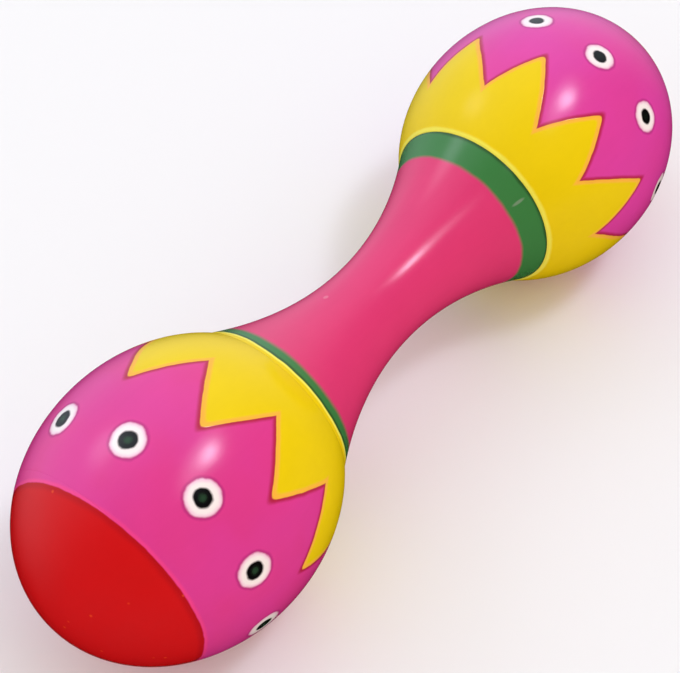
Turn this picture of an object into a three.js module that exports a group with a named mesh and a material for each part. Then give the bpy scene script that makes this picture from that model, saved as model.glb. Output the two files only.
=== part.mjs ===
// A double-ended wooden shaker: two hollow turned heads glued to a waisted handle, each closed by a plug cap and
// holding loose pellets. It lies along X on its two heads, with the origin on the floor below its middle.
import * as THREE from 'three';

// Outside shape, in millimetres.
const handleLength = 53.6; // between the two neck joints
const waistDiameter = 15.6;
const neckDiameter = 31.1; // where the handle meets a head
const headLength = 45.7; // from the neck joint to the tip of the cap
const headDiameter = 45.2;
const capLength = 11.4; // from the cap's seam to its tip
const seamChamfer = 0.25; // broken edge on both sides of every glued seam

// Inside of a head.
const headWall = 4.6; // side wall of the hollow
const neckWall = 7.2; // wood between the neck joint and the floor of the hollow
const mouthLip = 3.1; // wood left round the mouth
const mouthLand = 4; // straight part of the mouth, which holds the cap's spigot
const tenonDiameter = 12;
const plugChamfer = 0.6; // lead-in on the ends of the tenons and spigots

// Loose pellets, two to a lane, lying side by side at the bottom of each hollow.
const pelletDiameter = 4.5;
const lanesPerHead = 4;
const pelletGap = 0.3; // to the wall of the hollow and between the two pellets of a lane

// Fits of the glued joints.
const glueGap = 0.3; // between faces that meet end to end
const plugGap = 0.15; // round a tenon or spigot

// Facets.
const sides = 48;
const headSteps = 6; // on each side of a head's widest ring
const hollowSteps = 8;
const capSteps = 7;
const handleSteps = 12;
const pelletDetail = 1;

// The head is an ellipse turned about X, cut off square at the neck. x runs from the middle of the shaker.
const headRadius = headDiameter / 2;
const neckRadius = neckDiameter / 2;
const neckX = handleLength / 2;
const tipX = neckX + headLength;
const neckRise = Math.sqrt(1 - (neckRadius / headRadius) ** 2);
const headReach = headLength / (1 + neckRise);
const headCentre = tipX - headReach;
const headOuter = (x) => headRadius * Math.sqrt(Math.max(0, 1 - ((x - headCentre) / headReach) ** 2));

const seamX = tipX - capLength;
const floorX = neckX + neckWall;
const landX = seamX - mouthLand;
const mouthRadius = headOuter(seamX) - mouthLip;
const tenonRadius = tenonDiameter / 2;
const hollowRadius = (x) => headOuter(x) - headWall;

// The lowest facet of each head lies on the floor.
const axisHeight = headRadius * Math.cos(Math.PI / sides);

// Points along a turned outline between two places on the axis, closer together where the head rounds over.
function outline(from, to, steps, radiusAt) {
  const angleOf = (x) => Math.asin(THREE.MathUtils.clamp((x - headCentre) / headReach, -1, 1));
  const first = angleOf(from);
  const last = angleOf(to);
  const points = [];
  for (let step = 0; step <= steps; step += 1) {
    const x = headCentre + headReach * Math.sin(first + ((last - first) * step) / steps);
    points.push(new THREE.Vector2(radiusAt(x), x));
  }
  return points;
}

// Turns an outline of (radius, x) points about the shaker's own axis, with a facet facing the floor.
function turned(points) {
  const geometry = new THREE.LatheGeometry(points, sides, Math.PI / sides);
  geometry.rotateZ(-Math.PI / 2);
  return geometry;
}

function lacquer(color) {
  return new THREE.MeshStandardMaterial({ color, roughness: 0.25, metalness: 0 });
}

function mesh(name, geometry, material) {
  const piece = new THREE.Mesh(geometry, material);
  piece.name = name;
  return piece;
}

// Solid spindle with a tenon on each end.
function makeHandle() {
  const shoulderX = neckX - glueGap;
  const flare = (neckRadius - waistDiameter / 2) / neckX ** 2;
  const radiusAt = (x) => waistDiameter / 2 + flare * x * x;
  const edgeX = shoulderX - seamChamfer;
  const points = [
    new THREE.Vector2(0, -floorX),
    new THREE.Vector2(tenonRadius - plugChamfer, -floorX),
    new THREE.Vector2(tenonRadius, plugChamfer - floorX),
    new THREE.Vector2(tenonRadius, -shoulderX),
    new THREE.Vector2(radiusAt(shoulderX) - seamChamfer, -shoulderX),
  ];
  for (let step = 0; step <= handleSteps; step += 1) {
    const x = edgeX * ((2 * step) / handleSteps - 1);
    points.push(new THREE.Vector2(radiusAt(x), x));
  }
  points.push(
    new THREE.Vector2(radiusAt(shoulderX) - seamChamfer, shoulderX),
    new THREE.Vector2(tenonRadius, shoulderX),
    new THREE.Vector2(tenonRadius, floorX - plugChamfer),
    new THREE.Vector2(tenonRadius - plugChamfer, floorX),
    new THREE.Vector2(0, floorX),
  );
  return mesh('handle', turned(points), lacquer(0xe0457c));
}

// Hollow ball, open at the neck for the tenon and at the mouth for the cap's spigot.
function makeHead(side) {
  const holeRadius = tenonRadius + plugGap;
  const neckSide = outline(neckX + seamChamfer, headCentre, headSteps, headOuter);
  const mouthSide = outline(headCentre, seamX - seamChamfer, headSteps, headOuter);
  const hollow = outline(landX, floorX, hollowSteps, hollowRadius);
  const points = [
    new THREE.Vector2(holeRadius, neckX),
    new THREE.Vector2(neckRadius - seamChamfer, neckX),
    ...neckSide,
    ...mouthSide.slice(1),
    new THREE.Vector2(headOuter(seamX) - seamChamfer, seamX),
    new THREE.Vector2(mouthRadius, seamX),
    new THREE.Vector2(mouthRadius, landX),
    ...hollow,
    new THREE.Vector2(holeRadius, floorX),
    new THREE.Vector2(holeRadius, neckX),
  ];
  return mesh(`${side}_head`, turned(points), lacquer(0xdf3f96));
}

// Solid dome with a spigot that plugs the mouth.
function makeEndCap(side) {
  const shoulderX = seamX + glueGap;
  const spigotRadius = mouthRadius - plugGap;
  const points = [
    new THREE.Vector2(0, landX),
    new THREE.Vector2(spigotRadius - plugChamfer, landX),
    new THREE.Vector2(spigotRadius, landX + plugChamfer),
    new THREE.Vector2(spigotRadius, shoulderX),
    new THREE.Vector2(headOuter(shoulderX) - seamChamfer, shoulderX),
    ...outline(shoulderX + seamChamfer, tipX, capSteps, headOuter),
  ];
  return mesh(`${side}_end_cap`, turned(points), lacquer(0xc8181c));
}

// How far from the axis a pellet lies when it clears the sloping wall of the hollow by the pellet gap.
function pelletOrbit(x) {
  const slope = (headRadius / headReach) * Math.tan(Math.asin((x - headCentre) / headReach));
  return hollowRadius(x) - (pelletDiameter / 2 + pelletGap) * Math.hypot(1, slope);
}

// Lanes spread along the hollow, each with a pellet on both sides of its lowest line.
function makePellets(side) {
  const pellets = new THREE.Group();
  const hollowLength = landX - floorX;
  for (let lane = 0; lane < lanesPerHead; lane += 1) {
    const x = floorX + (hollowLength * (lane + 0.5)) / lanesPerHead;
    const orbit = pelletOrbit(x);
    const offset = (pelletDiameter + pelletGap) / 2;
    const drop = Math.sqrt(orbit ** 2 - offset ** 2);
    [-1, 1].forEach((hand, place) => {
      const shape = new THREE.IcosahedronGeometry(pelletDiameter / 2, pelletDetail);
      const steel = new THREE.MeshStandardMaterial({ color: 0xb4b6b8, roughness: 0.35, metalness: 1 });
      const pellet = mesh(`${side}_pellet_${2 * lane + place + 1}`, shape, steel);
      pellet.position.set(x, hand * offset, -drop);
      pellets.add(pellet);
    });
  }
  return pellets;
}

// Everything glued to or held in one end, built on the +X side.
function makeEnd(side) {
  const end = new THREE.Group();
  end.add(makeHead(side), makeEndCap(side), makePellets(side));
  return end;
}

const shaker = new THREE.Group();
shaker.position.z = axisHeight;
const leftEnd = makeEnd('left');
leftEnd.rotation.z = Math.PI;
shaker.add(makeHandle(), leftEnd, makeEnd('right'));

export default shaker;
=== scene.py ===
import bpy
import bmesh
import math
from mathutils import Matrix, Vector


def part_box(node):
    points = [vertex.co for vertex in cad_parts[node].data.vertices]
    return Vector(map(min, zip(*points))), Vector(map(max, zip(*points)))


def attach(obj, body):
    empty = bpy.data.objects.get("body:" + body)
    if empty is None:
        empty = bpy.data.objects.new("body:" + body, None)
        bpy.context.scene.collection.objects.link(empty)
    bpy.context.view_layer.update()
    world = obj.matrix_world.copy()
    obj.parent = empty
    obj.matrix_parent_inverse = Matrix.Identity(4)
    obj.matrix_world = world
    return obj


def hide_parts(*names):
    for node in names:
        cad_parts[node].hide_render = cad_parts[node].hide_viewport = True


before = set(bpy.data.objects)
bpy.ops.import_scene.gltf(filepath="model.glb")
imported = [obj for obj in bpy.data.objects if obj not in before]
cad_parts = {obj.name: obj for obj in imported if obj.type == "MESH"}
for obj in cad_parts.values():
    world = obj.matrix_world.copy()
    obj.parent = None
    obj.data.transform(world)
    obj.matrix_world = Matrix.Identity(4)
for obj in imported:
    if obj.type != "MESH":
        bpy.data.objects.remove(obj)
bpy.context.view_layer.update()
mm = 0.001
ends = (("left", -1), ("right", 1))  # name of each end and its side along X
print("frame loaded with", len(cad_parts), "nodes")

# places that the turned pieces share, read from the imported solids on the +X side
headLow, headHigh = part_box("right_head")
neckX = headLow.x  # joint between handle and head
seamX = headHigh.x  # joint between head and end cap
axisHeight = (headLow.z + headHigh.z) / 2
headRadius = (headHigh.z - headLow.z) / 2
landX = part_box("right_end_cap")[0].x  # inner end of the spigot
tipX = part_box("right_end_cap")[1].x
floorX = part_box("handle")[1].x  # end of the tenon, level with the floor of the hollow

turning = {
    "around": 160,  # sides of every turned piece
    "neckRadius": 15.55 * mm,
    "tenonRadius": 6.0 * mm,
    "plugGap": 0.15 * mm,
    "plugChamfer": 0.6 * mm,
    "seamGap": 0.004 * mm,  # hair line left between glued faces
    "seamRound": 0.008 * mm,  # edges of the cap's seam, filled by the paint
    "neckRound": 0.14 * mm,  # edges of the neck joint
    "neckStep": 0.08 * mm,  # the head stands this proud of the handle there
    "roundSteps": 3,
    "roundProfile": 0.5,  # a quarter circle
    "sawSlack": 0.001 * mm,
    "weld": 0.002 * mm,
    "rimReach": 0.01 * mm,  # how far from a cut its open edges are looked for
    "sharpAngle": math.radians(38),
}


def moveRim(rim, x, radius):
    for vert in {vert for edge in rim for vert in edge.verts}:
        arm = Vector((vert.co.y, vert.co.z - axisHeight)).normalized() * radius
        vert.co = (x, arm.x, axisHeight + arm.y)


# extrudes an open rim and sets its new edge loop at another place and radius
def drawRim(mesh, rim, x, radius):
    grown = bmesh.ops.extrude_edge_only(mesh, edges=rim)["geom"]
    fresh = {part for part in grown if isinstance(part, bmesh.types.BMVert)}
    newRim = [part for part in grown if isinstance(part, bmesh.types.BMEdge) and set(part.verts) <= fresh]
    moveRim(newRim, x, radius)
    return newRim


def openRim(mesh, x):
    reach = turning["rimReach"]
    return [edge for edge in mesh.edges if edge.is_boundary and abs(edge.verts[0].co.x - x) < reach]


def roundSeam(mesh, rim, width):
    bmesh.ops.bevel(mesh, geom=rim, offset=width, offset_type="OFFSET", affect="EDGES", material=-1,
                    segments=turning["roundSteps"], profile=turning["roundProfile"], clamp_overlap=True)


def wholeMesh(mesh):
    return mesh.verts[:] + mesh.edges[:] + mesh.faces[:]


def turnMesh(mesh, angle, axis):
    bmesh.ops.rotate(mesh, verts=mesh.verts, cent=(0, 0, 0), matrix=Matrix.Rotation(angle, 3, axis))


def addItem(name, data):
    item = bpy.data.objects.new(name, data)
    bpy.context.scene.collection.objects.link(item)
    return item


def finishPiece(name, mesh, body, side=1):
    bmesh.ops.remove_doubles(mesh, verts=mesh.verts, dist=turning["weld"])
    bmesh.ops.recalc_face_normals(mesh, faces=mesh.faces)
    if side < 0:  # the left end is the right end turned round
        turnMesh(mesh, math.pi, "Z")
    data = bpy.data.meshes.new(name)
    mesh.to_mesh(data)
    mesh.free()
    data.polygons.foreach_set("use_smooth", [True] * len(data.polygons))
    data.set_sharp_from_angle(angle=turning["sharpAngle"])
    piece = addItem(name, data)
    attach(piece, body)
    return piece


# handle: a spindle with a curved waist and a tenon at each end
handle = {
    "waistRadius": 7.8 * mm,
    "steps": 56,  # rings along the waist
}
handleFlare = (turning["neckRadius"] - turning["neckStep"] - handle["waistRadius"]) / neckX ** 2


def handleRadius(x):
    return handle["waistRadius"] + handleFlare * x * x


def turnHandle():
    tenon = turning["tenonRadius"]
    chamfer = turning["plugChamfer"]
    shoulder = neckX - turning["seamGap"]
    mesh = bmesh.new()
    bmesh.ops.create_circle(mesh, cap_ends=True, radius=tenon, segments=turning["around"])
    turnMesh(mesh, math.pi / 2, "Y")
    bmesh.ops.translate(mesh, verts=mesh.verts, vec=(-floorX, 0, axisHeight))
    rim = openRim(mesh, -floorX)
    moveRim(rim, -floorX, tenon - chamfer)
    rim = drawRim(mesh, rim, chamfer - floorX, tenon)
    rim = drawRim(mesh, rim, -shoulder, tenon)
    seams = []
    for step in range(handle["steps"] + 1):
        x = shoulder * (2 * step / handle["steps"] - 1)
        rim = drawRim(mesh, rim, x, handleRadius(x))
        if step in (0, handle["steps"]):
            seams += rim
    rim = drawRim(mesh, rim, shoulder, tenon)
    rim = drawRim(mesh, rim, floorX - chamfer, tenon)
    rim = drawRim(mesh, rim, floorX, tenon - chamfer)
    bmesh.ops.holes_fill(mesh, edges=rim, sides=0)
    roundSeam(mesh, seams, turning["neckRound"] / 2)
    piece = finishPiece("spindleHandle", mesh, "shaker")
    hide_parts("handle")
    return piece


# heads and caps: one egg, cut square at the neck and again at the seam of the cap
egg = {
    "along": 96,  # rings from pole to pole
    "headWall": 4.6 * mm,
    "mouthLip": 3.1 * mm,
    "hollowSteps": 14,
}
neckRise = math.sqrt(1 - (turning["neckRadius"] / headRadius) ** 2)
headReach = (tipX - neckX) / (1 + neckRise)
headCentre = tipX - headReach


def eggRadius(x):
    return headRadius * math.sqrt(max(0, 1 - ((x - headCentre) / headReach) ** 2))


mouthRadius = eggRadius(seamX) - egg["mouthLip"]


def wholeEgg():
    mesh = bmesh.new()
    bmesh.ops.create_uvsphere(mesh, u_segments=turning["around"], v_segments=egg["along"], radius=1)
    turnMesh(mesh, math.pi / 2, "Y")
    bmesh.ops.scale(mesh, verts=mesh.verts, vec=(headReach, headRadius, headRadius))
    bmesh.ops.translate(mesh, verts=mesh.verts, vec=(headCentre, 0, axisHeight))
    return mesh


def sawEgg(mesh, x, keepOuter):
    bmesh.ops.bisect_plane(mesh, geom=wholeMesh(mesh), dist=turning["sawSlack"], plane_co=(x, 0, 0),
                           plane_no=(1, 0, 0), clear_inner=keepOuter, clear_outer=not keepOuter)
    return openRim(mesh, x)


def turnHead(name, side):
    mesh = wholeEgg()
    neckRim = sawEgg(mesh, neckX, True)
    mouthRim = sawEgg(mesh, seamX, False)
    hole = turning["tenonRadius"] + turning["plugGap"]
    rim = drawRim(mesh, neckRim, neckX, hole)
    rim = drawRim(mesh, rim, floorX, hole)
    for step in range(egg["hollowSteps"]):
        x = floorX + (landX - floorX) * step / egg["hollowSteps"]
        rim = drawRim(mesh, rim, x, eggRadius(x) - egg["headWall"])
    land = drawRim(mesh, mouthRim, seamX, mouthRadius)
    land = drawRim(mesh, land, landX, mouthRadius)
    land = drawRim(mesh, land, landX, eggRadius(landX) - egg["headWall"])
    bmesh.ops.bridge_loops(mesh, edges=rim + land)
    roundSeam(mesh, neckRim, turning["neckRound"])
    roundSeam(mesh, mouthRim, turning["seamRound"])
    piece = finishPiece(name + "ShakerHead", mesh, "shaker", side)
    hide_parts(name + "_head")
    return piece


def turnCap(name, side):
    chamfer = turning["plugChamfer"]
    spigot = mouthRadius - turning["plugGap"]
    shoulder = seamX + turning["seamGap"]
    mesh = wholeEgg()
    seam = sawEgg(mesh, shoulder, True)
    rim = drawRim(mesh, seam, shoulder, spigot)
    rim = drawRim(mesh, rim, landX + chamfer, spigot)
    rim = drawRim(mesh, rim, landX, spigot - chamfer)
    bmesh.ops.holes_fill(mesh, edges=rim, sides=0)
    roundSeam(mesh, seam, turning["seamRound"])
    piece = finishPiece(name + "EndCap", mesh, "shaker", side)
    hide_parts(name + "_end_cap")
    return piece


# pellets: small steel shot with the flat that the cutting leaves, each on its own body
pellet = {
    "fineness": 3,
    "flat": 0.04,  # share of the radius cut away
    "bright": (205, 206, 208),
    "dull": (150, 150, 150),
    "tarnishSize": 1.2,  # sizes and depths of marks in millimetres
    "tarnishDetail": 4.0,
    "roughness": (0.42, 0.24),  # where dull, where bright
    "pitSize": 0.4,
    "pitDetail": 3.0,
    "pitDepth": 0.01,
}


def makePellet(node):
    low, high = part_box(node)
    radius = (high.x - low.x) / 2
    mesh = bmesh.new()
    bmesh.ops.create_icosphere(mesh, subdivisions=pellet["fineness"], radius=radius)
    cut = bmesh.ops.bisect_plane(mesh, geom=wholeMesh(mesh), dist=turning["sawSlack"], plane_no=(0, 0, 1),
                                 plane_co=(0, 0, radius * (1 - pellet["flat"])), clear_outer=True)
    flatRim = [part for part in cut["geom_cut"] if isinstance(part, bmesh.types.BMEdge)]
    bmesh.ops.holes_fill(mesh, edges=flatRim, sides=0)
    bmesh.ops.translate(mesh, verts=mesh.verts, vec=(low + high) / 2)
    piece = finishPiece(node.replace("_", "") + "Shot", mesh, node)
    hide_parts(node)
    return piece


spindle = turnHandle()
heads = {name: turnHead(name, side) for name, side in ends}
caps = {name: turnCap(name, side) for name, side in ends}
shot = [makePellet(node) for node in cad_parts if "_pellet_" in node]
print("turned pieces made,", len(shot), "pellets")


# paint and lacquer, worked out in millimetres from the middle of the shaker's own axis
cloudMiddle = 0.5  # a cloud runs from 0 to 1


# turns a colour as a screen shows it into the linear values that shaders mix
def paint(red, green, blue):
    channels = [value / 255 for value in (red, green, blue)]
    linear = [c / 12.92 if c <= 0.04045 else ((c + 0.055) / 1.055) ** 2.4 for c in channels]
    return (*linear, 1.0)


def newFinish(name):
    finish = bpy.data.materials.new(name)
    finish.use_nodes = True
    return finish, finish.node_tree


def wire(tree, socket, value):
    if isinstance(value, bpy.types.NodeSocket):
        tree.links.new(value, socket)
    else:
        socket.default_value = value


def reckon(tree, operation, *values):
    node = tree.nodes.new("ShaderNodeMath")
    node.operation = operation
    for socket, value in zip(node.inputs, values):
        wire(tree, socket, value)
    return node.outputs[0]


# a vector measure, such as a distance or how far one direction faces another
def gauge(tree, operation, vector, other):
    node = tree.nodes.new("ShaderNodeVectorMath")
    node.operation = operation
    wire(tree, node.inputs[0], vector)
    node.inputs[1].default_value = other
    return node.outputs["Value"]


# 0 at the start of a span and 1 at its end, eased between, times an amount
def ease(tree, value, span, amount=1.0):
    node = tree.nodes.new("ShaderNodeMapRange")
    node.interpolation_type = "SMOOTHSTEP"
    wire(tree, node.inputs["Value"], value)
    node.inputs["From Min"].default_value, node.inputs["From Max"].default_value = span
    node.inputs["To Max"].default_value = amount
    return node.outputs[0]


def scaleTo(tree, value, low, high):
    node = tree.nodes.new("ShaderNodeMapRange")
    wire(tree, node.inputs["Value"], value)
    wire(tree, node.inputs["To Min"], low)
    wire(tree, node.inputs["To Max"], high)
    return node.outputs[0]


# lays one colour over another by an amount
def coat(tree, amount, under, over):
    node = tree.nodes.new("ShaderNodeMix")
    node.data_type = "RGBA"
    wire(tree, node.inputs[0], amount)
    wire(tree, node.inputs[6], under)  # sockets 6 and 7 take the two colours
    wire(tree, node.inputs[7], over)
    return node.outputs[2]


# bump from a height in millimetres
def emboss(tree, shader, height):
    bump = tree.nodes.new("ShaderNodeBump")
    bump.inputs["Distance"].default_value = mm
    wire(tree, bump.inputs["Height"], height)
    wire(tree, shader.inputs["Normal"], bump.outputs[0])


# cloudy value from 0 to 1 with patches of about the given size along the piece, and across it if that differs
def cloud(tree, place, along, across=None, detail=2.0):
    across = across or along
    stretch = tree.nodes.new("ShaderNodeMapping")
    stretch.inputs["Scale"].default_value = (1 / along, 1 / across, 1 / across)
    wire(tree, stretch.inputs["Vector"], place)
    node = tree.nodes.new("ShaderNodeTexNoise")
    wire(tree, node.inputs["Vector"], stretch.outputs[0])
    node.inputs["Scale"].default_value = 1.0
    node.inputs["Detail"].default_value = detail
    return node.outputs[0]


# place in millimetres from the axis, with the distance along it, the angle round it and the radius
def turnedPlace(tree, side=1):
    coords = tree.nodes.new("ShaderNodeTexCoord")
    centre = tree.nodes.new("ShaderNodeMapping")
    centre.inputs["Location"].default_value = (0, 0, -axisHeight / mm)
    centre.inputs["Scale"].default_value = (side / mm, 1 / mm, 1 / mm)
    wire(tree, centre.inputs["Vector"], coords.outputs["Object"])
    split = tree.nodes.new("ShaderNodeSeparateXYZ")
    wire(tree, split.inputs[0], centre.outputs[0])
    y, z = split.outputs["Y"], split.outputs["Z"]
    square = reckon(tree, "MULTIPLY_ADD", y, y, reckon(tree, "MULTIPLY", z, z))
    return {
        "place": centre.outputs[0],
        "along": split.outputs["X"],
        "around": reckon(tree, "ARCTAN2", z, y),
        "radius": reckon(tree, "SQRT", square),
    }


# small round specks scattered over the lacquer, with a core at full strength
def specks(tree, place, spacing, radius, amount, core=0.3):
    node = tree.nodes.new("ShaderNodeTexVoronoi")
    wire(tree, node.inputs["Vector"], place)
    node.inputs["Scale"].default_value = 1 / spacing
    return ease(tree, node.outputs["Distance"], (radius / spacing, core * radius / spacing), amount)


# bare wood on the joints and in the hollows, where the paint doesn't reach
wood = {
    "pale": paint(226, 196, 150),
    "dark": paint(192, 150, 100),
    "roughness": 0.6,
    "grainContrast": (0.35, 0.65),
    "paintEnds": (0.5, 0.3),  # how deep below the outside, in millimetres
}
lacquer = {
    "roughness": (0.15, 0.23),
    "shine": 0.5,  # specular level of the pink and green
    "flatShine": 0.26,  # and of the yellow and red, which are less glossy
    "blotch": 0.05,  # how far the colour drifts, as a share
    "blotchSize": 9.0,  # heights and sizes in millimetres
    "blotchDetail": 3.0,
    "grain": 0.04,  # as a share too
    "grainLength": 16.0,
    "grainWidth": 0.8,
    "grainDetail": 3.0,
    "grainHeight": 0.004,
    "smearSize": 5.0,
    "smearDetail": 4.0,
    "peelSize": 1.5,
    "peelDetail": 1.0,
    "peelHeight": 0.0035,
    "nibSpacing": 9.0,
    "nibRadius": 0.25,
    "nibHeight": 0.02,
    "layerHeight": 0.02,  # one coat of paint over another
}


# 1 on the outside of a turned piece and 0 on its joints and in its hollow
def paintedSide(tree, spot, outer):
    return ease(tree, reckon(tree, "SUBTRACT", outer, spot["radius"]), wood["paintEnds"])


def eggOutside(tree, spot):
    off = reckon(tree, "MULTIPLY_ADD", spot["along"], mm / headReach, -headCentre / headReach)
    rest = reckon(tree, "MAXIMUM", reckon(tree, "SUBTRACT", 1.0, reckon(tree, "MULTIPLY", off, off)), 0.0)
    return paintedSide(tree, spot, reckon(tree, "MULTIPLY", reckon(tree, "SQRT", rest), headRadius / mm))


def handleOutside(tree, spot):
    square = reckon(tree, "MULTIPLY", spot["along"], spot["along"])
    outer = reckon(tree, "MULTIPLY_ADD", square, handleFlare * mm, handle["waistRadius"] / mm)
    return paintedSide(tree, spot, outer)


def addUp(tree, first, *others):
    total = first
    for value in others:
        total = reckon(tree, "ADD", total, value)
    return total


# gloss over the finished colour: faint grain and blotches show through, with orange peel and dust nibs
def lacquerOver(tree, spot, colour, painted, layers, flat):
    shader = tree.nodes["Principled BSDF"]
    place = spot["place"]
    blotches = cloud(tree, place, lacquer["blotchSize"], detail=lacquer["blotchDetail"])
    grain = cloud(tree, place, lacquer["grainLength"], lacquer["grainWidth"], lacquer["grainDetail"])
    bare = coat(tree, ease(tree, grain, wood["grainContrast"]), wood["pale"], wood["dark"])
    drift = reckon(tree, "ADD", scaleTo(tree, blotches, 1 - lacquer["blotch"], 1 + lacquer["blotch"]),
                   scaleTo(tree, grain, -lacquer["grain"] / 2, lacquer["grain"] / 2))
    tone = tree.nodes.new("ShaderNodeVectorMath")
    tone.operation = "SCALE"
    wire(tree, tone.inputs[0], coat(tree, painted, bare, colour))
    wire(tree, tone.inputs["Scale"], drift)
    wire(tree, shader.inputs["Base Color"], tone.outputs[0])
    smears = cloud(tree, place, lacquer["smearSize"], detail=lacquer["smearDetail"])
    gloss = scaleTo(tree, smears, *lacquer["roughness"])
    wire(tree, shader.inputs["Roughness"], scaleTo(tree, painted, wood["roughness"], gloss))
    peel = cloud(tree, place, lacquer["peelSize"], detail=lacquer["peelDetail"])
    height = addUp(
        tree,
        reckon(tree, "MULTIPLY", peel, lacquer["peelHeight"]),
        reckon(tree, "MULTIPLY", grain, lacquer["grainHeight"]),
        reckon(tree, "MULTIPLY", layers, lacquer["layerHeight"]),
        specks(tree, place, lacquer["nibSpacing"], lacquer["nibRadius"], lacquer["nibHeight"]),
    )
    emboss(tree, shader, height)
    shine = scaleTo(tree, flat, lacquer["shine"], lacquer["flatShine"])
    wire(tree, shader.inputs["Specular IOR Level"], shine)


yellowPaint = paint(236, 206, 3)
wornAndLitYellow = paint(246, 240, 92)  # thinned on an edge, and lighter there as a painted highlight of the rounded edge

handleColours = {
    "pink": paint(222, 56, 114),
    "green": paint(60, 127, 65),
    "joint": paint(34, 62, 24),  # dark line where the green meets the yellow: painted shade in the groove of the joint, with dirt
    "jointAmount": 0.7,
    # where each band starts, how soft that edge is, and where the head's yellow runs over the band,
    # in millimetres out from the middle
    "left": (23.7, 0.6, 25.7),
    "right": (22.6, 0.4, 26.9),
    "bandWander": 0.35,
    "wanderSize": 6.0,
    # edges measured from where the yellow starts
    "jointSpan": (-0.7, -0.2),
    "yellowSpan": (-0.1, 0.1),
    "wornSpan": (0.2, 0.6),
    # small pale marks that are painted highlights: degrees round the axis, place along it, length and width
    "rubs": ((69.8, -8.6, 1.2, 1.0), (134.2, 24.7, 2.6, 0.7)),
    "rubbed": paint(250, 225, 235),
    "rubSpan": (1.0, 0.1),
    "rubAmount": 0.14,
}


def shifted(span, by):
    return (by + span[0], by + span[1])


# one painted highlight: a small pale oval on the handle
def paintedGlintMark(tree, spot, mark):
    degrees, place, length, width = mark
    turn = reckon(tree, "SUBTRACT", spot["around"], math.radians(degrees))
    across = reckon(tree, "MULTIPLY", turn, 2 * handleRadius(place * mm) / mm / width)
    along = reckon(tree, "MULTIPLY_ADD", spot["along"], 2 / length, -2 * place / length)
    off = reckon(tree, "MULTIPLY_ADD", along, along, reckon(tree, "MULTIPLY", across, across))
    return ease(tree, off, handleColours["rubSpan"], handleColours["rubAmount"])


def paintHandle():
    finish, tree = newFinish("handlePaint")
    spot = turnedPlace(tree)
    patches = cloud(tree, spot["place"], handleColours["wanderSize"])
    wander = scaleTo(tree, patches, -handleColours["bandWander"], handleColours["bandWander"])
    colour = handleColours["pink"]
    bands = []
    laps = []
    for name, side in ends:
        start, blur, lap = handleColours[name]
        out = reckon(tree, "MULTIPLY_ADD", spot["along"], side, wander)
        band = ease(tree, out, (start - blur, start + blur))
        # painted shade and dirt in the groove where the green meets the yellow
        dark = ease(tree, out, shifted(handleColours["jointSpan"], lap), handleColours["jointAmount"])
        # pale yellow at the edge of the lap: worn paint and a painted highlight of the rounded edge
        yellow = coat(tree, ease(tree, out, shifted(handleColours["wornSpan"], lap)), wornAndLitYellow, yellowPaint)
        colour = coat(tree, band, colour, handleColours["green"])
        colour = coat(tree, dark, colour, handleColours["joint"])
        lapped = ease(tree, out, shifted(handleColours["yellowSpan"], lap))
        colour = coat(tree, lapped, colour, yellow)
        bands.append(band)
        laps.append(lapped)
    # painted highlights laid over the handle's colour
    for mark in handleColours["rubs"]:
        colour = coat(tree, paintedGlintMark(tree, spot, mark), colour, handleColours["rubbed"])
    lacquerOver(tree, spot, colour, handleOutside(tree, spot), addUp(tree, *bands), addUp(tree, *laps))
    return finish


headColours = {
    "leftPink": paint(222, 58, 140),
    "leftLilac": paint(221, 60, 149),  # drifts in and out of the pink
    # the right head's pink and lilac are a little lighter and bluer than the left's: painted sheen
    "rightPink": paint(222, 63, 156),
    "rightLilac": paint(221, 64, 163),
    "driftSize": 14.0,
    "driftSpan": (0.35, 0.65),
    "wobble": 0.2,  # how uneven a hand painted edge is
    "wobbleSize": 7.0,
    "roughSize": 1.6,
    "roughShare": 0.4,  # of the quick bumps beside the slow ones
    # zigzag; spans are millimetres inside the yellow, square to the edge of a tooth
    "toothSlant": 0.566,  # turns a distance along into one square to the edge
    "tipRound": 2.4,
    "crownSpan": (-0.08, 0.08),
    "overlap": paint(178, 30, 52),  # line where the yellow ends over the pink
    "overlapSpan": (-0.81, -0.135),
    "overlapAmount": 0.9,
    "rim": paint(250, 180, 68),  # thin edge of the yellow
    "rimSpan": (0.9, 0.36),
    "rimAmount": 0.85,
    "wornSpan": (0.7, 0.3),  # millimetres out from the neck joint
    "leftWorn": 0.0,  # how much of the worn yellow, partly a painted highlight of the rounded edge, shows there
    "rightWorn": 0.8,
    # tips of the teeth and the valley after each: degrees round the axis, millimetres out from the middle
    "leftTeeth": (
        ((27.4, 44.8), (45.2, 34.8)), ((65.8, 44.6), (83.3, 34.9)), ((102.8, 44.9), (118.8, 35.0)),
        ((138.6, 44.4), (154.8, 34.7)), ((173.8, 45.3), (191.5, 34.8)), ((210.4, 44.5), (227.7, 35.1)),
        ((245.3, 44.9), (264.2, 34.6)), ((282.3, 44.3), (299.8, 35.0)), ((317.2, 44.8), (335.9, 34.7)),
        ((354.1, 44.4), (371.6, 35.1)),
    ),
    "rightTeeth": (
        ((19.0, 44.5), (39.8, 35.0)), ((55.1, 44.7), (76.7, 34.5)), ((91.1, 44.1), (110.2, 33.1)),
        ((126.2, 42.7), (142.9, 33.4)), ((162.3, 44.9), (176.2, 34.1)), ((198.4, 44.3), (215.4, 34.6)),
        ((234.5, 44.8), (251.5, 34.2)), ((270.7, 44.4), (288.4, 34.7)), ((306.8, 44.9), (324.6, 34.3)),
        ((342.9, 44.2), (360.9, 34.6)),
    ),
}

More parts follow.
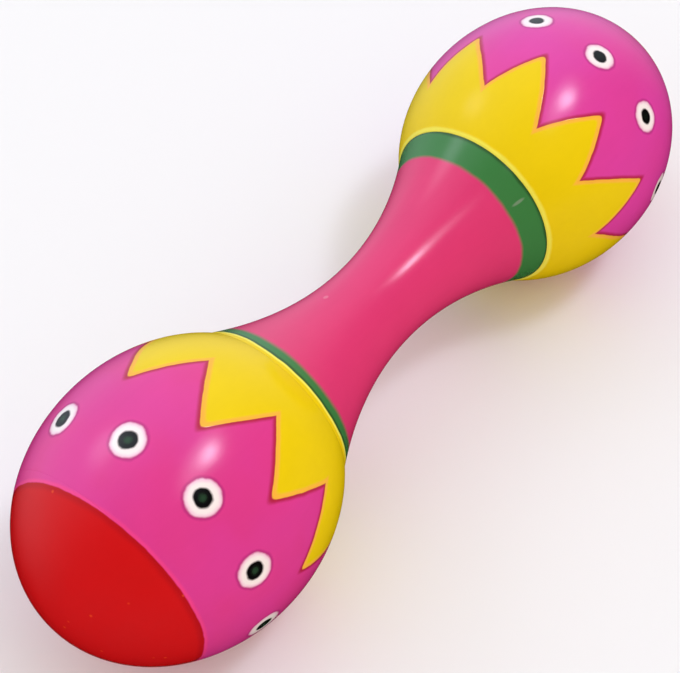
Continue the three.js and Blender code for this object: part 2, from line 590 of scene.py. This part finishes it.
dotColours = {
    "white": paint(250, 240, 238),
    "blush": paint(244, 190, 216),  # where the pink shows through the edge of a dot
    "black": paint(12, 10, 12),
    "green": paint(42, 76, 50),  # in the middle of a pupil: a painted reflection, stronger on the left head
    "edge": paint(150, 30, 104),
    "radius": 2.65,
    "uneven": 0.5,
    # spans measured from the edge of a dot, and of a pupil
    "edgeSpan": (0.6, 0.1),
    "edgeAmount": 0.5,
    "whiteSpan": (0.15, -0.25),
    "blushSpan": (-0.75, 0.05),
    "pupilSpan": (0.2, -0.2),
    "greenSpan": (0.9, 0.1),  # from the middle
    "leftPupil": 1.4,
    "rightPupil": 1.28,
    "leftGreen": 0.8,
    "rightGreen": 0.1,
    # middle of each dot: degrees round the axis, millimetres out from the middle
    "left": ((15.5, 53.4), (51.8, 53.6), (86.7, 52.3), (120.7, 51.5), (155.2, 51.7), (191.4, 52.4),
             (229.0, 52.0), (265.2, 51.7), (302.6, 52.2), (338.6, 52.6)),
    "right": ((37.4, 51.8), (73.6, 51.6), (107.8, 51.0), (140.8, 50.7), (181.6, 51.4), (215.2, 51.6),
              (251.1, 51.0), (286.4, 51.5), (322.6, 51.1), (359.6, 51.7)),
}


# distance in millimetres inside the yellow crown, measured square to the edge of a tooth
def crownDepth(tree, spot, teeth):
    edge = None
    lastValley = (teeth[-1][1][0] - 360, teeth[-1][1][1])
    for tip, valley in teeth:
        off = reckon(tree, "SUBTRACT", spot["around"], math.radians(tip[0]))
        off = reckon(tree, "WRAP", off, math.pi, -math.pi)
        climb = (tip[1] - lastValley[1]) / math.radians(tip[0] - lastValley[0])
        drop = (tip[1] - valley[1]) / math.radians(valley[0] - tip[0])
        sides = reckon(tree, "SMOOTH_MIN", reckon(tree, "MULTIPLY", off, climb),
                       reckon(tree, "MULTIPLY", off, -drop), headColours["tipRound"])
        tooth = reckon(tree, "ADD", sides, tip[1])
        edge = tooth if edge is None else reckon(tree, "MAXIMUM", edge, tooth)
        lastValley = valley
    return reckon(tree, "MULTIPLY", reckon(tree, "SUBTRACT", edge, spot["along"]), headColours["toothSlant"])


# distance in millimetres from the middle of the nearest dot
def dotDistance(tree, spot, dots):
    nearest = None
    for degrees, out in dots:
        turn = math.radians(degrees)
        radius = eggRadius(out * mm) / mm
        middle = (out, radius * math.cos(turn), radius * math.sin(turn))
        distance = gauge(tree, "DISTANCE", spot["place"], middle)
        nearest = distance if nearest is None else reckon(tree, "MINIMUM", nearest, distance)
    return nearest


# unevenness of a hand painted edge, in millimetres: quick bumps alone, and with slow ones
def edgeWander(tree, place):
    slow = reckon(tree, "SUBTRACT", cloud(tree, place, headColours["wobbleSize"]), cloudMiddle)
    bumps = reckon(tree, "SUBTRACT", cloud(tree, place, headColours["roughSize"]), cloudMiddle)
    both = reckon(tree, "MULTIPLY_ADD", bumps, headColours["roughShare"], slow)
    return bumps, reckon(tree, "MULTIPLY", both, 2 * headColours["wobble"])


# pink under everything else on the heads and caps, drifting to lilac in broad patches
def pinkGround(tree, name, place):
    patches = cloud(tree, place, headColours["driftSize"])
    drift = ease(tree, patches, headColours["driftSpan"])
    return coat(tree, drift, headColours[name + "Pink"], headColours[name + "Lilac"])


# yellow zigzag over the pink
def crownOver(tree, name, spot, wander, pink):
    depth = reckon(tree, "ADD", crownDepth(tree, spot, headColours[name + "Teeth"]), wander)
    crown = ease(tree, depth, headColours["crownSpan"])
    overlap = ease(tree, depth, headColours["overlapSpan"], headColours["overlapAmount"])
    rim = ease(tree, depth, headColours["rimSpan"], headColours["rimAmount"])
    out = reckon(tree, "ADD", spot["along"], wander)
    # pale yellow by the neck joint: worn paint and a painted highlight of the rounded edge
    wornLit = ease(tree, out, shifted(headColours["wornSpan"], neckX / mm), headColours[name + "Worn"])
    yellow = coat(tree, rim, yellowPaint, headColours["rim"])
    yellow = coat(tree, wornLit, yellow, wornAndLitYellow)
    return coat(tree, crown, coat(tree, overlap, pink, headColours["overlap"]), yellow), crown


# ring of white dots with dark pupils
def dotsOver(tree, name, spot, bumps, colour):
    distance = dotDistance(tree, spot, dotColours[name])
    distance = reckon(tree, "MULTIPLY_ADD", bumps, dotColours["uneven"], distance)
    radius = dotColours["radius"]
    halo = ease(tree, distance, shifted(dotColours["edgeSpan"], radius), dotColours["edgeAmount"])
    white = ease(tree, distance, shifted(dotColours["whiteSpan"], radius))
    blush = ease(tree, distance, shifted(dotColours["blushSpan"], radius))
    black = ease(tree, distance, shifted(dotColours["pupilSpan"], dotColours[name + "Pupil"]))
    # dark green glint in the middle of each pupil: a painted reflection
    green = ease(tree, distance, dotColours["greenSpan"], dotColours[name + "Green"])
    colour = coat(tree, halo, colour, dotColours["edge"])
    colour = coat(tree, white, colour, coat(tree, blush, dotColours["white"], dotColours["blush"]))
    return coat(tree, black, colour, coat(tree, green, dotColours["black"], dotColours["green"])), white


# red end, dipped a little askew, with a painted highlight on the pink along its edge and painted shade on the
# red inside it; spans are millimetres inside the red
dipColours = {
    "red": paint(206, 14, 18),
    "edgeRed": paint(180, 10, 22),
    "edgeRedSpan": (1.05, 0.175),
    "edgePink": paint(246, 66, 140),
    "edgePinkSpan": (-0.63, -0.105),
    "edgeAmount": 0.8,
    "dipSpan": (-0.1, 0.1),
    "speck": paint(236, 84, 30),
    "speckSpacing": 3.3,
    "speckRadius": 0.32,
    "speckAmount": 0.6,
    # middle of its edge, how far it leans, and the angle where it reaches furthest in
    "left": (62.5, 1.7, 140.0),
    "right": (63.4, 2.0, 275.0),
}


def dipEnd(tree, name, spot, wander, colour):
    middle, lean, angle = dipColours[name]
    tilt = reckon(tree, "COSINE", reckon(tree, "SUBTRACT", spot["around"], math.radians(angle)))
    edge = reckon(tree, "MULTIPLY_ADD", tilt, -lean, middle)
    depth = reckon(tree, "ADD", reckon(tree, "SUBTRACT", spot["along"], edge), wander)
    # painted highlight on the pink beside the red's edge, and painted shade just inside the red
    glow = ease(tree, depth, dipColours["edgePinkSpan"], dipColours["edgeAmount"])
    shade = ease(tree, depth, dipColours["edgeRedSpan"], dipColours["edgeAmount"])
    dust = specks(tree, spot["place"], dipColours["speckSpacing"], dipColours["speckRadius"],
                  dipColours["speckAmount"])
    red = coat(tree, dust, coat(tree, shade, dipColours["red"], dipColours["edgeRed"]), dipColours["speck"])
    dipped = ease(tree, depth, dipColours["dipSpan"])
    return coat(tree, dipped, coat(tree, glow, colour, dipColours["edgePink"]), red), dipped


def paintHead(name, side):
    finish, tree = newFinish(name + "HeadPaint")
    spot = turnedPlace(tree, side)
    bumps, wander = edgeWander(tree, spot["place"])
    colour, crown = crownOver(tree, name, spot, wander, pinkGround(tree, name, spot["place"]))
    colour, white = dotsOver(tree, name, spot, bumps, colour)
    colour, dipped = dipEnd(tree, name, spot, wander, colour)
    flat = reckon(tree, "ADD", crown, dipped)
    layers = reckon(tree, "ADD", flat, white)
    lacquerOver(tree, spot, colour, eggOutside(tree, spot), layers, flat)
    return finish


def paintCap(name, side):
    finish, tree = newFinish(name + "CapPaint")
    spot = turnedPlace(tree, side)
    wander = edgeWander(tree, spot["place"])[1]
    colour, dipped = dipEnd(tree, name, spot, wander, pinkGround(tree, name, spot["place"]))
    lacquerOver(tree, spot, colour, eggOutside(tree, spot), dipped, dipped)
    return finish


def steelShot():
    finish, tree = newFinish("shotSteel")
    shader = tree.nodes["Principled BSDF"]
    place = turnedPlace(tree)["place"]
    tarnish = cloud(tree, place, pellet["tarnishSize"], detail=pellet["tarnishDetail"])
    colour = coat(tree, tarnish, paint(*pellet["dull"]), paint(*pellet["bright"]))
    wire(tree, shader.inputs["Base Color"], colour)
    wire(tree, shader.inputs["Roughness"], scaleTo(tree, tarnish, *pellet["roughness"]))
    pits = cloud(tree, place, pellet["pitSize"], detail=pellet["pitDetail"])
    emboss(tree, shader, reckon(tree, "MULTIPLY", pits, pellet["pitDepth"]))
    shader.inputs["Metallic"].default_value = 1.0
    return finish


spindle.data.materials.append(paintHandle())
for name, side in ends:
    heads[name].data.materials.append(paintHead(name, side))
    caps[name].data.materials.append(paintCap(name, side))
shotFinish = steelShot()
for piece in shot:
    piece.data.materials.append(shotFinish)
print("paint laid on", 1 + len(heads) + len(caps), "turned pieces")

# studio: white floor, a pale surround that the lacquer mirrors on its far side, and soft lamps above
studio = {
    "floorSize": 12.0,
    "floorColour": (0.86, 0.875, 0.865, 1.0),
    "floorRoughness": 1.0,
    "floorShine": 0.0,
    "floorFade": (0.3, 1.4),  # how far out the floor runs into the backdrop, in metres
    "backdrop": (0.97, 0.97, 1.0, 1.0),
    "skyTowards": (0.10, 0.90, 0.42),  # where the surround is coolest
    "skySpan": (-0.8, 0.9),
    "skyCool": (0.93, 0.97, 1.06, 1.0),
    "skyWarm": (0.89, 0.69, 0.51, 1.0),
    "sheenTowards": (0.30, 0.90, 0.15),  # where its mirror image is brightest
    "sheenSpan": (-0.15, 0.75),
    "sheenLevels": (-0.75, 0.10),  # it fades below the horizon
    "sheen": (0.74, 0.82, 0.94, 1.0),
    "noSheen": (0.0, 0.0, 0.0, 1.0),
    "aim": (0.0, 0.0, 0.02),
    "away": 4.0,
    "lampMiddle": (0.5, 0.5, 0.0),  # a lamp runs from 0 to 1 along each side
    "lampSpan": (0.5, 0.05),  # it fades from its middle to its edge
    # a lamp with a higher fade has a smaller bright middle
    "lamps": {
        "brightLamp": {"from": (0.30, -0.29, 0.905), "along": (0.66, 0.29, -0.09), "size": (2.6, 1.5),
                       "watts": 215.0, "tint": (0.88, 0.95, 1.16), "fade": 4.0},
        "longLamp": {"from": (0.20, -0.27, 0.94), "along": (0.66, 0.29, -0.09), "size": (4.4, 1.4),
                     "watts": 60.0, "tint": (0.92, 0.95, 1.10), "fade": 1.0},
        "backLamp": {"from": (-0.17, 0.70, 0.695), "along": (0.80, 0.40, -0.10), "size": (2.6, 2.2),
                     "watts": 36.0, "tint": (0.92, 0.95, 1.10), "fade": 1.5},
    },
}


def makeFloor():
    mesh = bmesh.new()
    bmesh.ops.create_grid(mesh, x_segments=1, y_segments=1, size=studio["floorSize"] / 2)
    data = bpy.data.meshes.new("studioFloor")
    mesh.to_mesh(data)
    mesh.free()
    floor = addItem("studioFloor", data)
    finish, tree = newFinish("floorWhite")
    shader = tree.nodes["Principled BSDF"]
    shader.inputs["Base Color"].default_value = studio["floorColour"]
    shader.inputs["Roughness"].default_value = studio["floorRoughness"]
    shader.inputs["Specular IOR Level"].default_value = studio["floorShine"]
    away = gauge(tree, "DISTANCE", tree.nodes.new("ShaderNodeTexCoord").outputs["Object"], (0, 0, 0))
    seen = tree.nodes.new("ShaderNodeLightPath").outputs["Is Camera Ray"]
    backdrop = tree.nodes.new("ShaderNodeEmission")
    backdrop.inputs["Color"].default_value = studio["backdrop"]
    cove = tree.nodes.new("ShaderNodeMixShader")
    wire(tree, cove.inputs[0], reckon(tree, "MULTIPLY", ease(tree, away, studio["floorFade"]), seen))
    wire(tree, cove.inputs[1], shader.outputs[0])
    wire(tree, cove.inputs[2], backdrop.outputs[0])
    wire(tree, tree.nodes["Material Output"].inputs["Surface"], cove.outputs[0])
    data.materials.append(finish)
    floor.visible_glossy = False


def makeSky():
    world = bpy.data.worlds.new("studioSky")
    world.use_nodes = True
    bpy.context.scene.world = world
    tree = world.node_tree
    outward = tree.nodes.new("ShaderNodeTexCoord").outputs["Generated"]
    cool = gauge(tree, "DOT_PRODUCT", outward, Vector(studio["skyTowards"]).normalized())
    glow = coat(tree, ease(tree, cool, studio["skySpan"]), studio["skyWarm"], studio["skyCool"])
    bright = gauge(tree, "DOT_PRODUCT", outward, Vector(studio["sheenTowards"]).normalized())
    level = gauge(tree, "DOT_PRODUCT", outward, (0, 0, 1))
    shine = reckon(tree, "MULTIPLY", ease(tree, bright, studio["sheenSpan"]),
                   ease(tree, level, studio["sheenLevels"]))
    sheen = coat(tree, shine, studio["noSheen"], studio["sheen"])
    path = tree.nodes.new("ShaderNodeLightPath")
    surround = coat(tree, path.outputs["Is Glossy Ray"], glow, sheen)
    seen = coat(tree, path.outputs["Is Camera Ray"], surround, studio["backdrop"])
    wire(tree, tree.nodes["Background"].inputs["Color"], seen)


# makes a lamp brightest in its middle, with no hard edge
def fadeLamp(light, fade):
    light.use_nodes = True
    tree = light.node_tree
    across = tree.nodes.new("ShaderNodeNewGeometry").outputs["Parametric"]
    off = gauge(tree, "DISTANCE", across, studio["lampMiddle"])
    glow = reckon(tree, "POWER", ease(tree, off, studio["lampSpan"]), fade)
    wire(tree, tree.nodes["Emission"].inputs["Strength"], glow)


def hangLamp(name, lamp):
    light = bpy.data.lights.new(name, "AREA")
    light.shape = "RECTANGLE"
    light.size, light.size_y = lamp["size"]
    light.energy = lamp["watts"]
    light.color = lamp["tint"]
    fadeLamp(light, lamp["fade"])
    back = Vector(lamp["from"]).normalized()  # a lamp shines along its own -Z
    across = back.cross(Vector(lamp["along"])).normalized()
    item = addItem(name, light)
    item.location = Vector(studio["aim"]) + back * studio["away"]
    item.rotation_euler = Matrix((across.cross(back), across, back)).transposed().to_euler()
    item.visible_camera = False


makeFloor()
makeSky()
for name, lamp in studio["lamps"].items():
    hangLamp(name, lamp)
print("studio lit")

photoView = {
    "stand": (-0.1162, -0.0870, 0.2101),
    "aim": (-0.0085, 0.0002, 0.02255),
    "lens": 77.43,
    "sensor": 36.0,
    "nearest": 0.01,
}
camera = bpy.data.cameras.new("photoCamera")
camera.lens = photoView["lens"]
camera.sensor_width = photoView["sensor"]
camera.clip_start = photoView["nearest"]
cameraItem = addItem("photoCamera", camera)
cameraItem.location = photoView["stand"]
gaze = Vector(photoView["aim"]) - Vector(photoView["stand"])
cameraItem.rotation_euler = gaze.to_track_quat("-Z", "Y").to_euler()
bpy.context.scene.camera = cameraItem
bpy.context.scene.view_settings.view_transform = "Standard"
print("camera set")
